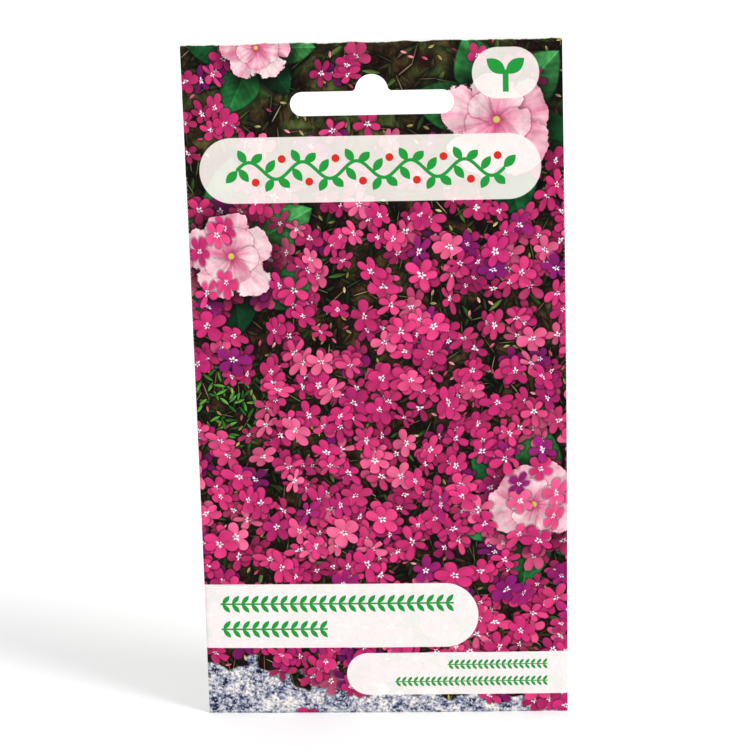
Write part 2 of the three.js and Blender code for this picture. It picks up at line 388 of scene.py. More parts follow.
turns = [37.26, 37.30, 37.34, 37.38, 37.42, 37.46]
head_corner = arc(HALF - CORNER_R, HEIGHT - CORNER_R, CORNER_R, 0, math.pi / 2, 8)
front_outline = along([(-HALF, 0), (HALF, 0), (HALF, 113.4), (HALF, 114.6), *head_corner, *mirror(head_corner), (-HALF, 114.6), (-HALF, 113.4)], 0.8)
front_columns = [-t for t in reversed(turns)] + [-FOLD, -37.0, *span(-36.4, 36.4, 0.8), 37.0, FOLD, *turns]
front_rows = [0.06, 0.12, 0.18, 0.24, 0.3, 0.4, 0.5, 0.75, *span(1.2, 139.4, 0.8)]
front = paper_sheet("front_sheet", front_outline, [hang_slot()], front_columns, front_rows, front_place,
                    (0.001, 0.001, 0.935, 0.999), (0.945, 0.001, 0.98, 0.999), (0.986, 0.001, 0.999, 0.999), clearance=0.035)

B = HALF - PAPER
back_corner = arc(B - CORNER_R, HEIGHT - CORNER_R, CORNER_R, 0, math.pi / 2, 8)
back_outline = along([(-B, 0.17), (B, 0.17), *back_corner, *mirror(back_corner)], 0.8)
back = paper_sheet("back_sheet", back_outline, [hang_slot()], span(-36.8, 36.8, 0.8), span(0.8, 139.4, 0.8), back_place,
                   (0.001, 0.001, 0.935, 0.999), (0.945, 0.001, 0.98, 0.999), (0.986, 0.001, 0.999, 0.999))

QUARTER = 0.45
INNER = QUARTER + (FOLD - (HALF - FLAP_WIDTH))       # u of a side flap's inner edge


def at_x(x):
    return QUARTER + FOLD - x


flap_outline = along([(0, 0.17), (at_x(35.86), 0.17), (INNER, 13.34), (INNER, 109.4), (at_x(30.79), FLAP_TOP), (0, FLAP_TOP)], 0.8)
flaps = {}
for name, side in (("left_flap", -1), ("right_flap", 1)):
    flaps[name] = paper_sheet(name + "_sheet", flap_outline, [], [0.07, 0.14, 0.21, 0.28, 0.35, 0.42, 0.5, 0.7, *span(1.2, 9.6, 0.7)],
                              span(0.6, 113.6, 0.7), flap_place(side),
                              (0.001, 0.001, 0.80, 0.999), (0.82, 0.001, 0.95, 0.999), (0.96, 0.001, 0.999, 0.999), clearance=0.05)

foot_x = FOLD - 0.1
foot = paper_sheet("foot_sheet", along([(-foot_x, 0), (foot_x, 0), (foot_x, 1), (-foot_x, 1)], 0.9), [],
                   span(-36.6, 36.6, 0.8), [0.2, 0.4, 0.6, 0.8], foot_place,
                   (0.001, 0.02, 0.999, 0.60), (0.001, 0.63, 0.999, 0.93), (0.001, 0.95, 0.999, 0.999), clearance=0.1)
bottom_outline = along([(-34.34, 0), (34.34, 0), (34.3, 0.3), (26.89, 13.0 + 0.14), (-26.89, 13.0 + 0.14), (-34.3, 0.3)], 0.8)
bottom = paper_sheet("bottom_flap_sheet", bottom_outline, [], span(-34, 34, 0.8), [0.06, 0.13, 0.2, 0.27, 0.34, 0.42, 0.6, *span(1.0, 12.6, 0.8)],
                     bottom_place, (0.001, 0.001, 0.999, 0.78), (0.001, 0.80, 0.999, 0.95), (0.001, 0.96, 0.999, 0.999), clearance=0.05)


# ------------------------------------------------------------------ node trees
class Tree:
    """Nodes are made in the order in which they are read, so that few of their values are held at a time."""

    def __init__(self, name):
        self.mat = bpy.data.materials.new(name)
        self.mat.use_nodes = True
        self.nodes, self.links = self.mat.node_tree.nodes, self.mat.node_tree.links
        self.nodes.clear()
        self.seed = 0

    def node(self, kind, **props):
        n = self.nodes.new("ShaderNode" + kind)
        for k, v in props.items():
            setattr(n, k, v)
        return n

    def put(self, socket, value):
        if isinstance(value, bpy.types.NodeSocket):
            self.links.new(value, socket)
        elif value is not None:
            if isinstance(value, (int, float)) and hasattr(socket.default_value, "__len__"):
                value = [value] * len(socket.default_value)
            socket.default_value = value

    def m(self, op, a, b=None, c=None, clamp=False):
        n = self.node("Math", operation=op, use_clamp=clamp)
        for socket, value in zip(n.inputs, (a, b, c)):
            self.put(socket, value)
        return n.outputs[0]

    def add(self, a, b):
        return self.m("ADD", a, b)

    def sub(self, a, b):
        return self.m("SUBTRACT", a, b)

    def mul(self, a, b, clamp=False):
        return self.m("MULTIPLY", a, b, clamp=clamp)

    def mad(self, a, b, c, clamp=False):
        return self.m("MULTIPLY_ADD", a, b, c, clamp=clamp)

    def v(self, op, a, b=None, c=None, scale=None):
        n = self.node("VectorMath", operation=op)
        for socket, value in zip(n.inputs, (a, b, c)):
            self.put(socket, value)
        if scale is not None:
            self.put(n.inputs["Scale"], scale)
        return n.outputs["Value" if op in ("LENGTH", "DISTANCE", "DOT_PRODUCT") else "Vector"]

    def xyz(self, vector):
        n = self.node("SeparateXYZ")
        self.put(n.inputs[0], vector)
        return n.outputs

    def join(self, x=0.0, y=0.0, z=0.0):
        n = self.node("CombineXYZ")
        for socket, value in zip(n.inputs, (x, y, z)):
            self.put(socket, value)
        return n.outputs[0]

    def mapping(self, vector, loc=(0, 0, 0), rot=0.0, scale=(1, 1, 1), kind="POINT"):
        n = self.node("Mapping", vector_type=kind)
        self.put(n.inputs["Vector"], vector)
        n.inputs["Location"].default_value = loc
        n.inputs["Rotation"].default_value = (0, 0, rot)
        n.inputs["Scale"].default_value = scale
        return n.outputs[0]

    def turn(self, vector, angle):
        n = self.node("VectorRotate", rotation_type="Z_AXIS")
        self.put(n.inputs["Vector"], vector)
        self.put(n.inputs["Angle"], angle)
        return n.outputs[0]

    def noise(self, vector, scale=1.0, detail=2.0, rough=0.5, dims="2D", distortion=0.0, colour=False):
        n = self.node("TexNoise", noise_dimensions=dims)
        self.put(n.inputs["Vector"], vector)
        for k, value in (("Scale", scale), ("Detail", detail), ("Roughness", rough), ("Distortion", distortion)):
            self.put(n.inputs[k], value)
        return n.outputs["Color" if colour else "Fac"]

    def cells(self, vector, scale=1.0, random=1.0, feature="F1", dims="2D"):
        n = self.node("TexVoronoi", voronoi_dimensions=dims, feature=feature)
        self.put(n.inputs["Vector"], vector)
        n.inputs["Scale"].default_value = scale
        n.inputs["Randomness"].default_value = random
        return n.outputs

    def white(self, vector, dims="2D"):
        n = self.node("TexWhiteNoise", noise_dimensions=dims)
        self.put(n.inputs["Vector"], vector)
        return n.outputs

    def rgb(self, colour):
        n = self.node("SeparateColor", mode="RGB")
        self.put(n.inputs[0], colour)
        return n.outputs

    def range(self, value, a, b, c=0.0, d=1.0, kind="LINEAR"):
        n = self.node("MapRange", interpolation_type=kind, clamp=True)
        for socket, x in zip(n.inputs, (value, a, b, c, d)):
            self.put(socket, x)
        return n.outputs[0]

    def step(self, value, a, b, c=0.0, d=1.0):
        return self.range(value, a, b, c, d, kind="SMOOTHSTEP")

    def mix(self, factor, a, b, kind="MIX"):
        n = self.node("Mix", data_type="RGBA", blend_type=kind, clamp_factor=True)
        self.put(n.inputs[0], factor)
        self.put(n.inputs[6], a)
        self.put(n.inputs[7], b)
        return n.outputs[2]

    def blend(self, factor, a, b):
        n = self.node("Mix", data_type="FLOAT", clamp_factor=True)
        self.put(n.inputs[0], factor)
        self.put(n.inputs[2], a)
        self.put(n.inputs[3], b)
        return n.outputs[0]

    def vblend(self, factor, a, b):
        n = self.node("Mix", data_type="VECTOR", clamp_factor=True)
        self.put(n.inputs[0], factor)
        self.put(n.inputs[4], a)
        self.put(n.inputs[5], b)
        return n.outputs[1]

    def shade(self, colour, by):
        """colour times a number."""
        return self.v("SCALE", colour, scale=by)

    def ramp(self, factor, stops, kind="LINEAR"):
        n = self.node("ValToRGB")
        n.color_ramp.interpolation = kind
        e = n.color_ramp.elements
        while len(e) > 1:
            e.remove(e[-1])
        e[0].position, e[0].color = stops[0]
        for at, colour in stops[1:]:
            e.new(at).color = colour
        self.put(n.inputs[0], factor)
        return n.outputs[0]

    def bump(self, height, distance, strength=1.0, normal=None):
        n = self.node("Bump")
        self.put(n.inputs["Height"], height)
        n.inputs["Distance"].default_value = distance
        n.inputs["Strength"].default_value = strength
        if normal is not None:
            self.put(n.inputs["Normal"], normal)
        return n.outputs[0]

    def object_mm(self):
        return self.v("SCALE", self.node("TexCoord").outputs["Object"], scale=1000.0)

    def surface(self, colour, roughness=0.5, normal=None, **constants):
        p = self.node("BsdfPrincipled")
        self.put(p.inputs["Base Color"], colour)
        self.put(p.inputs["Roughness"], roughness)
        if normal is not None:
            self.put(p.inputs["Normal"], normal)
        for k, value in constants.items():
            p.inputs[k.replace("_", " ")].default_value = value
        out = self.node("OutputMaterial")
        self.links.new(p.outputs[0], out.inputs["Surface"])
        return self.mat


def ink(r, g, b):
    """A colour as a screen shows it, 0 to 255. The print is put together in these values and turned into light at its end."""
    return (r / 255, g / 255, b / 255, 1.0)


# ------------------------------------------------------------------ the print
def leaf_layer(t, P, under, cell, turn, shift, size, slim, keep, colours, squash=1.0, vein=0.25, random=0.9):
    """Single pointed leaves, one to a cell, over what is under them."""
    q = t.mapping(P, loc=(*shift, 0), rot=turn, scale=(1 / cell, 1 / cell, 1))
    c = t.cells(q, random=random)
    pos = c["Position"]
    d = t.v("SUBTRACT", q, pos)
    rnd = t.rgb(c["Color"])
    d = t.turn(d, t.mul(rnd[0], TAU))
    s = t.xyz(t.v("SCALE", d, scale=cell / size))
    u = t.mad(s[0], 0.5, 0.5)
    body = t.mul(t.mul(u, t.sub(1.0, u)), 4 * slim)
    side = t.m("ABSOLUTE", s[1])
    inside = t.sub(body, side)
    there = t.m("LESS_THAN", rnd[1], keep)
    mask = t.mul(t.mul(inside, 9.0 / max(slim, 0.08), clamp=True), there)
    shadow = t.mul(t.range(inside, -0.30, 0.0, 0.0, 0.55), there)
    under = t.shade(under, t.sub(1.0, shadow))
    colour = t.ramp(rnd[2], colours)
    light = t.mad(t.m("SIGN", s[1]), 0.10, t.mad(u, 0.30, 0.78))
    rib = t.range(side, 0.0, slim * 0.16, vein, 0.0)
    colour = t.shade(colour, t.add(light, rib))
    return t.mix(mask, under, colour)


PETALS = [(0.0, ink(112, 28, 102)), (0.09, ink(150, 34, 112)), (0.16, ink(190, 44, 108)), (0.52, ink(207, 52, 113)),
          (0.84, ink(224, 66, 124)), (1.0, ink(238, 102, 145))]
PATCH = (-31.0, 66.0)      # where small green leaves take the flowers' place


def flower_layer(t, P, under, cell, turn, shift, keep, tone, seed):
    """Small five-petalled flowers with a white star for an eye, one to a cell."""
    scale = (1 / cell, 1 / cell, 1)
    q = t.mapping(P, loc=(*shift, 0), rot=turn, scale=scale)
    c = t.cells(q, random=0.54)
    pos = c["Position"]
    d = t.v("SUBTRACT", q, pos)
    # whether there is one, from a map of thick and thin growth
    at = t.mapping(pos, loc=(*shift, 0), rot=turn, scale=scale, kind="TEXTURE")
    growth = t.noise(at, scale=1 / 13.0, detail=1.0)
    ax, az, _ = t.xyz(at)
    limit = t.mad(growth, 2.2, keep - 1.1)
    limit = t.sub(limit, t.range(az, 82.0, 98.0, 0.0, 0.13))
    limit = t.sub(limit, t.range(az, 106.0, 122.0, 0.0, 0.72))
    limit = t.add(limit, t.range(az, 40.0, 72.0, 0.42, 0.0))
    limit = t.sub(limit, t.range(t.v("DISTANCE", at, (*PATCH, 0)), 5.0, 11.0, 1.2, 0.0))
    limit = t.sub(limit, t.range(t.mad(ax, 0.15, az), 3.0, 11.5, 1.55, 0.0))
    w = t.rgb(t.white(t.v("ADD", pos, (seed, seed * 1.7, 0)))[1])
    there = t.m("LESS_THAN", w[0], limit)
    rnd = t.rgb(c["Color"])
    # a flower seen from one side is narrower that way
    d = t.turn(d, t.mul(rnd[0], TAU))
    d = t.v("MULTIPLY", d, t.join(t.mad(rnd[1], 0.62, 1.0), 1.0, 0.0))
    r = t.mul(t.v("LENGTH", d), t.m("DIVIDE", 1 / 0.435, t.mad(w[1], 0.26, 0.85)))
    s = t.xyz(d)
    a = t.mad(t.m("ARCTAN2", s[1], s[0]), 5 / TAU, t.mad(w[2], 5.0, 5.5))
    f = t.sub(t.m("FRACT", a), 0.5)
    petal = t.m("FLOORED_MODULO", t.m("FLOOR", a), 5.0)
    own = t.rgb(t.white(t.v("ADD", pos, t.join(petal, t.mul(petal, 0.37), 0.0)))[1])
    # the petals' lengths differ, and they bend a little to one side
    r = t.m("DIVIDE", r, t.mad(own[0], 0.34, 0.78))
    f = t.add(f, t.mul(t.mad(own[1], 0.34, -0.17), r))
    angle = t.mul(f, TAU / 5)
    u = t.mul(r, t.m("COSINE", angle))
    v = t.mul(r, t.m("SINE", angle))
    vv = t.mul(v, v)
    edge = t.sub(t.mul(t.mul(u, t.sub(1.0, t.mul(t.mul(u, u), u))), t.mad(rnd[0], 0.15, 0.14)), vv)
    mask = t.mul(t.mul(edge, 27.0, clamp=True), there)
    shadow = t.mul(t.range(edge, -0.11, 0.0, 0.0, 0.30), there)
    under = t.shade(under, t.sub(1.0, shadow))
    colour = t.ramp(t.mad(rnd[2], 1.0, 0.05 * (tone - 0.72) / 0.32), PETALS)
    light = t.mad(u, 0.11, t.mad(own[2], 0.16, 0.86 * tone))
    light = t.sub(light, t.mul(t.m("MAXIMUM", f, 0.0), 0.20))
    light = t.add(light, t.range(edge, 0.0, 0.04, t.mad(rnd[1], 0.16, 0.02), 0.0))
    colour = t.shade(colour, light)
    # the eye
    star = t.mad(t.mul(f, f), -0.95, t.mad(own[2], 0.15, 0.166))
    eye = t.mul(t.range(t.sub(star, r), 0.0, 0.06), there)
    whiteness = t.range(t.add(r, t.mul(own[0], -0.06)), 0.0, 0.05)
    eye_colour = t.mix(whiteness, ink(120, 60, 90), ink(254, 240, 247))
    out = t.mix(mask, under, colour)
    return t.mix(eye, out, eye_colour)


BLOSSOMS = [  # centre, radius and turn of the large blossoms
    ((-29.0, 97.5), 10.0, 0.4),
    ((24.5, 124.0), 11.0, 2.0),
    ((31.0, 45.0), 9.5, 4.1),
    ((-22.5, 139.0), 7.0, 5.2),
]


def nearest_blossom(t, P):
    """The place in the nearest large blossom, its radius taken as 1, and a number of its own."""
    found = None
    for k, ((cx, cz), radius, turn) in enumerate(BLOSSOMS):
        d = t.mapping(P, loc=(cx, cz, 0), rot=turn, scale=(radius, radius, 1), kind="TEXTURE")
        far = t.v("LENGTH", d)
        if found is None:
            found = (d, far, t.m("ADD", 0.0, 0.0))
        else:
            nearer = t.m("LESS_THAN", far, found[1])
            found = (t.vblend(nearer, found[0], d), t.m("MINIMUM", far, found[1]), t.blend(nearer, found[2], float(k)))
    return found


def rosettes(t, P, under, blossom):
    """Large pointed leaves that stand out from under the blossoms."""
    d, r, k = blossom
    s = t.xyz(d)
    a = t.mad(t.m("ARCTAN2", s[1], s[0]), 6 / TAU, t.mad(k, 0.37, 6.3))
    f = t.sub(t.m("FRACT", a), 0.5)
    leaf = t.m("FLOORED_MODULO", t.m("FLOOR", a), 6.0)
    own = t.rgb(t.white(t.join(leaf, k, 0.0))[1])
    angle = t.mul(t.mad(own[0], 0.24, t.add(f, -0.12)), TAU / 6)
    long_ = t.mad(own[1], 0.6, 1.55)
    rr = t.m("DIVIDE", r, long_)
    u = t.mul(rr, t.m("COSINE", angle))
    v = t.mul(rr, t.m("SINE", angle))
    side = t.m("ABSOLUTE", v)
    inside = t.sub(t.mul(t.mul(u, t.sub(1.0, u)), 1.16), side)
    mask = t.mul(inside, 40.0, clamp=True)
    shadow = t.range(inside, -0.10, 0.0, 0.0, 0.5)
    under = t.shade(under, t.sub(1.0, shadow))
    colour = t.ramp(own[2], [(0.0, ink(12, 46, 28)), (0.4, ink(20, 70, 38)), (0.75, ink(34, 92, 48)), (1.0, ink(60, 122, 66))])
    ribs = t.m("SINE", t.mul(t.sub(u, t.mul(side, 0.9)), 62.0))
    light = t.mad(ribs, 0.045, t.mad(u, 0.42, 0.66))
    light = t.mad(t.m("SIGN", v), 0.13, light)
    light = t.add(light, t.range(side, 0.0, 0.016, 0.30, 0.0))
    light = t.add(light, t.mad(t.noise(P, scale=0.3, detail=3.0), 1.3, -0.65))
    return t.mix(mask, under, t.shade(colour, light))


def blossoms(t, P, under, blossom):
    """Large pale blossoms: a ring of five broad ruffled petals, each lying on the next one round, and a smaller ring on it."""
    d, r, k = blossom
    s = t.xyz(d)
    way = t.v("SCALE", d, scale=t.m("DIVIDE", 5.2, t.m("MAXIMUM", r, 0.02)))
    streak = t.noise(t.v("ADD", way, t.join(t.mul(k, 3.1), 0.0, t.mul(r, 0.9))), scale=1.0, detail=3.0, rough=0.62, dims="3D")
    crumple = t.noise(d, scale=2.6, detail=4.0, rough=0.62)
    theta = t.mul(t.m("ARCTAN2", s[1], s[0]), 5 / TAU)
    out = t.shade(under, t.range(r, 0.85, 1.25, 0.5, 1.0))
    for ring, size, turn in ((0, 1.0, 0.0), (1, 0.62, 0.43)):
        a = t.add(theta, t.mad(k, 0.29, 5.5 + turn))
        f0 = t.sub(t.m("FRACT", a), 0.5)
        petal = t.m("FLOOR", a)
        for shift in (-1.0, 0.0, 1.0):  # the next petal round lies lowest, the one before on top
            f = t.add(f0, shift)
            number = t.m("FLOORED_MODULO", t.sub(petal, shift), 5.0)
            own = t.rgb(t.white(t.join(number, t.add(k, 5.0 + 7 * ring), 0.0))[1])
            angle = t.mul(f, TAU / 5)
            rr = t.m("DIVIDE", r, t.mad(own[0], 0.26 * size, 0.84 * size))
            u = t.mul(rr, t.m("COSINE", angle))
            v = t.mul(rr, t.m("SINE", angle))
            uu = t.mul(u, u)
            shape = t.mul(t.mul(t.sub(1.0, t.mul(uu, uu)), u), t.mad(own[1], 0.22, 0.34))
            edge = t.sub(t.mad(crumple, 0.34, t.mad(shape, 1.0, -0.17)), t.mul(v, v))
            edge = t.m("MINIMUM", edge, t.mul(u, 2.0))
            mask = t.mul(edge, 34.0, clamp=True)
            shadow = t.range(edge, -0.08, 0.0, 0.0, 0.22)
            out = t.shade(out, t.sub(1.0, shadow))
            depth = t.mad(streak, 1.25, t.mad(own[1], 0.34, t.mul(t.m("ABSOLUTE", t.sub(u, 0.76)), 0.85)))
            colour = t.ramp(t.sub(depth, 0.60), [(0.0, ink(254, 224, 226)), (0.28, ink(250, 190, 204)), (0.55, ink(240, 146, 176)), (1.0, ink(218, 84, 132))])
            light = t.add(t.mad(own[2], 0.08, 0.86), t.range(edge, 0.0, 0.06, 0.15, 0.0))
            light = t.add(light, t.mad(crumple, 0.5, t.mad(f, -0.10, -0.22)))
            colour = t.shade(colour, light)
            out = t.mix(mask, out, colour)
    out = t.mix(t.range(r, 0.05, 0.17, 0.75, 0.0), out, ink(176, 44, 92))
    return t.mix(t.range(r, 0.045, 0.08, 1.0, 0.0), out, ink(206, 196, 96))


def pebbles(t, P):
    """Speckled stone: cream and grey with navy blotches."""
    broad = t.noise(P, scale=0.24, detail=1.0)
    grain = t.noise(t.mapping(P, rot=0.5, scale=(1.0, 1.3, 1.0)), scale=0.72, detail=3.0, rough=0.66)
    value = t.mad(grain, 2.5, t.mad(broad, 1.3, -1.40))
    stone = t.ramp(value, [(0.0, ink(38, 40, 64)), (0.15, ink(82, 88, 118)), (0.30, ink(128, 133, 158)), (0.48, ink(170, 172, 186)),
                           (0.70, ink(206, 203, 206)), (1.0, ink(243, 238, 232))])
    specks = t.noise(P, scale=1.9, detail=2.0)
    stone = t.mix(t.range(specks, 0.60, 0.68, 0.0, 0.7), stone, ink(250, 246, 240))
    return t.shade(stone, t.mad(t.range(specks, 0.32, 0.44), 0.34, 0.67))


def meadow(t, P):
    """The whole printed picture, in screen values, for a place P on the sheet in millimetres."""
    x, z, _ = t.xyz(P)
    soft = t.noise(P, scale=0.16, detail=3.0, rough=0.6)
    ground = t.ramp(soft, [(0.32, ink(10, 4, 3)), (0.48, ink(34, 20, 14)), (0.60, ink(62, 46, 30)), (0.80, ink(92, 78, 50))])
    streaks = t.noise(t.mapping(P, rot=0.35, scale=(2.3, 0.55, 1.0)), scale=1.0, detail=3.0, rough=0.7, distortion=0.8)
    ground = t.mix(t.range(streaks, 0.56, 0.74, 0.0, 0.60), ground, ink(78, 90, 58))
    greens = [(0.0, ink(22, 36, 18)), (0.5, ink(38, 62, 28)), (0.85, ink(58, 88, 40)), (1.0, ink(108, 128, 66))]
    dark = [(0.0, ink(24, 30, 18)), (0.5, ink(34, 46, 24)), (1.0, ink(62, 50, 40))]
    c = leaf_layer(t, P, ground, 2.6, 0.3, (3.1, 8.2), 1.4, 0.24, 0.8, dark)
    c = leaf_layer(t, P, c, 4.1, 1.1, (11.4, 2.7), 1.9, 0.22, 0.6, greens)
    haze = t.mul(t.range(z, 110.0, 122.0), t.range(t.noise(P, scale=0.10, detail=2.0, rough=0.6), 0.42, 0.60, 0.10, 0.62))
    c = t.mix(haze, c, t.ramp(soft, [(0.36, ink(88, 60, 44)), (0.52, ink(62, 84, 42)), (0.68, ink(94, 116, 64))]))
    # twigs and stems
    twigs = [(0.0, ink(64, 52, 34)), (0.35, ink(84, 92, 48)), (0.7, ink(112, 108, 68)), (0.9, ink(130, 72, 68)), (1.0, ink(170, 156, 112))]
    c = leaf_layer(t, P, c, 5.3, 2.2, (7.7, 21.3), 2.8, 0.045, 0.55, twigs, vein=0.0)
    # a patch of bright small leaves
    bright = [(0.0, ink(30, 84, 30)), (0.5, ink(54, 122, 44)), (1.0, ink(104, 160, 70))]
    patch = t.range(t.v("DISTANCE", P, (*PATCH, 0)), 7.0, 11.0, 1.0, 0.0)
    leafy = leaf_layer(t, P, c, 2.1, 0.5, (1.7, 6.6), 1.25, 0.26, 0.95, bright)
    leafy = leaf_layer(t, P, leafy, 2.4, 1.9, (9.2, 4.6), 1.35, 0.24, 0.8, bright)
    c = t.mix(patch, c, leafy)
    # stones at one lower corner and along the bottom
    stems = [(0.0, ink(54, 60, 34)), (0.4, ink(96, 104, 56)), (0.75, ink(122, 70, 66)), (1.0, ink(190, 178, 128))]
    c = leaf_layer(t, P, c, 4.6, 0.8, (17.7, 1.3), 2.2, 0.05, 0.62, stems, vein=0.0)
    buds = [(0.0, ink(104, 104, 54)), (0.35, ink(176, 160, 92)), (0.5, ink(222, 202, 148)), (0.56, ink(150, 48, 76)), (0.85, ink(206, 88, 112)), (1.0, ink(244, 176, 170))]
    c = leaf_layer(t, P, c, 2.7, 0.2, (5.2, 9.9), 0.72, 0.40, 0.44, buds, vein=0.12)
    line = t.add(t.mad(t.noise(P, scale=0.13, detail=2.0), 18.0, -3.5), t.range(x, -36.0, 8.0, 8.0, -1.0))
    stone = t.range(t.sub(line, z), -0.3, 0.6)
    c = t.mix(stone, c, pebbles(t, P))
    blossom = nearest_blossom(t, P)
    c = rosettes(t, P, c, blossom)
    c = flower_layer(t, P, c, 7.4, 0.35, (31.3, 12.9), 0.98, 0.71, 3.3)
    c = flower_layer(t, P, c, 7.6, 1.85, (3.7, -52.6), 0.96, 0.79, 7.1)
    c = flower_layer(t, P, c, 7.7, 1.25, (-12.6, 44.1), 0.92, 0.87, 11.9)
    c = flower_layer(t, P, c, 7.8, 2.15, (55.2, -31.7), 0.86, 0.93, 23.1)
    c = blossoms(t, P, c, blossom)
    c = flower_layer(t, P, c, 8.0, 0.85, (-71.4, -22.3), 0.64, 0.98, 41.7)
    c = flower_layer(t, P, c, 8.4, 2.75, (13.4, 93.9), 0.44, 1.01, 67.3)
    return c, x, z


def pill(t, x, z, cx, cz, long_, r, left=True, right=True):
    """How far (x, z) lies inside a bar with round ends, or open at one of them. Positive inside, in millimetres."""
    dx = t.sub(x, cx)
    if left and right:
        over = t.m("MAXIMUM", t.sub(t.m("ABSOLUTE", dx), long_), 0.0)
    elif right:
        over = t.m("MAXIMUM", t.sub(dx, long_), 0.0)
    else:
        over = t.m("MAXIMUM", t.sub(t.mul(dx, -1.0), long_), 0.0)
    return t.sub(r, t.v("LENGTH", t.join(over, t.sub(z, cz), 0.0)))


def lens(t, x, z, angle, length, slim):
    """A pointed leaf from (0, 0): how far (x, z) lies inside it."""
    a = t.add(t.mul(x, math.cos(angle)), t.mul(z, math.sin(angle)))
    b = t.sub(t.mul(z, math.cos(angle)), t.mul(x, math.sin(angle)))
    u = t.m("DIVIDE", a, length)
    return t.sub(t.mul(t.mul(u, t.sub(1.0, u)), 4 * slim * length), t.m("ABSOLUTE", b))


def leaf_row(t, x, z, x0, count, cz, pitch, height):
    """A plain ornament: a row of small leaves in pairs on a straight stalk. 1 on its green, else 0."""
    px = t.sub(x, x0)
    lx = t.mul(t.sub(t.m("FRACT", t.m("DIVIDE", px, pitch)), 0.18), pitch)
    lz = t.m("ABSOLUTE", t.sub(z, cz))
    shape = t.m("MAXIMUM", lens(t, lx, lz, 0.86, height * 0.70, 0.20), t.sub(0.055 * height, lz))
    ends = t.m("MINIMUM", px, t.sub(x0 + count * pitch, x))
    shape = t.m("MINIMUM", shape, ends)
    return t.range(shape, -0.03, 0.05)


def vine(t, x, z, x0, count, cz, wave, rise):
    """A plain ornament: a winding stem with leaves and a berry at each turn. Gives the green and the berries."""
    px = t.sub(x, x0)
    phase = t.mul(px, TAU / wave)
    sway = t.mul(t.m("SINE", phase), rise)
    slope = t.mul(t.m("COSINE", phase), rise * TAU / wave)
    dz = t.sub(t.sub(z, cz), sway)
    across_stem = t.m("DIVIDE", t.m("ABSOLUTE", dz), t.m("SQRT", t.mad(slope, slope, 1.0)))
    shape = t.sub(0.34, across_stem)
    half_wave = wave / 2
    step = t.m("DIVIDE", px, half_wave)
    lx = t.mul(t.sub(t.m("FRACT", step), 0.5), half_wave)
    way = t.mad(t.m("FLOORED_MODULO", t.m("FLOOR", step), 2.0), -2.0, 1.0)
    lz = t.mul(t.sub(z, cz), way)
    for ax, az, angle, length, slim in ((0.3, rise * 0.9, 0.62, 3.2, 0.27), (-0.6, rise * 0.9, 2.1, 3.1, 0.27), (-2.1, rise * 0.3, -0.95, 3.3, 0.25)):
        shape = t.m("MAXIMUM", shape, lens(t, t.sub(lx, ax), t.sub(lz, az), angle, length, slim))
    ends = t.m("MINIMUM", px, t.sub(x0 + count * wave, x))
    shape = t.m("MINIMUM", shape, ends)
    shape = t.m("MAXIMUM", shape, lens(t, t.sub(x, x0 + count * wave - 0.3), t.sub(z, cz - 0.1), 0.8, 3.4, 0.27))
    shape = t.m("MAXIMUM", shape, lens(t, t.sub(x, x0 + 0.3), t.sub(z, cz + 0.1), 0.8 + math.pi, 3.4, 0.27))
    ball = t.sub(0.80, t.v("LENGTH", t.join(t.sub(lx, 1.2), t.sub(lz, -2.3), 0.0)))
    ball = t.m("MINIMUM", ball, ends)
    return t.range(shape, -0.04, 0.06), t.range(ball, -0.04, 0.06)


def sprout(t, x, z, cx, cz, size):
    """A plain ornament: a seedling with two leaves."""
    px = t.m("ABSOLUTE", t.sub(x, cx))
    pz = t.sub(z, cz)
    stem = t.m("MINIMUM", t.sub(0.085 * size, px), t.sub(0.5 * size, t.m("ABSOLUTE", pz)))
    stem = t.m("MINIMUM", stem, t.sub(0.14 * size, pz))
    leaf = lens(t, px, t.sub(pz, 0.02 * size), 0.68, 0.70 * size, 0.27)
    return t.range(t.m("MAXIMUM", stem, leaf), -0.04, 0.06)


GREEN, RED = ink(38, 148, 62), ink(212, 48, 40)


def banners(t, c, x, z):
    """White veils over the picture, with plain leaf ornaments on them."""
    shape = pill(t, x, z, -0.75, 114.7, 27.35, 6.6)
    shape = t.m("MAXIMUM", shape, pill(t, x, z, 26.4, 133.15, 1.55, 5.05))
    veil = t.range(shape, -0.05, 0.07)
    c = t.mix(t.mul(veil, 0.875), c, ink(250, 243, 236))
    shape = pill(t, x, z, -20.0, 21.45, 32.35, 6.95, left=False)
    shape = t.m("MAXIMUM", shape, pill(t, x, z, 20.0, 8.65, 23.65, 4.65, right=False))
    veil = t.range(shape, -0.05, 0.07)
    c = t.mix(t.mul(veil, 0.925), c, ink(253, 251, 246))
    green, berries = vine(t, x, z, -27.4, 5, 114.6, 10.7, 1.7)
    c = t.mix(green, c, GREEN)
    c = t.mix(berries, c, RED)
    c = t.mix(sprout(t, x, z, 26.4, 132.8, 6.8), c, GREEN)
    c = t.mix(leaf_row(t, x, z, -34.2, 24, 24.1, 2.02, 3.5), c, GREEN)
    c = t.mix(leaf_row(t, x, z, -34.2, 11, 18.6, 2.02, 3.5), c, GREEN)
    c = t.mix(leaf_row(t, x, z, 12.7, 17, 10.6, 1.22, 2.1), c, GREEN)
    return t.mix(leaf_row(t, x, z, 1.7, 26, 6.9, 1.22, 2.1), c, GREEN)


def to_light(t, c):
    n = t.node("Gamma")
    t.put(n.inputs["Color"], c)
    n.inputs["Gamma"].default_value = 2.2
    return t.shade(n.outputs[0], 0.925)


def paper_normal(t, mm, fine=1.0):
    """Fibre and a faint orange peel under the coating."""
    n1 = t.noise(mm, scale=0.55, detail=2.0, dims="3D")
    n2 = t.noise(mm, scale=4.5, detail=3.0, rough=0.6, dims="3D")
    height = t.mad(n2, 0.10 * fine, n1)
    return t.bump(height, 0.00006, 0.5)


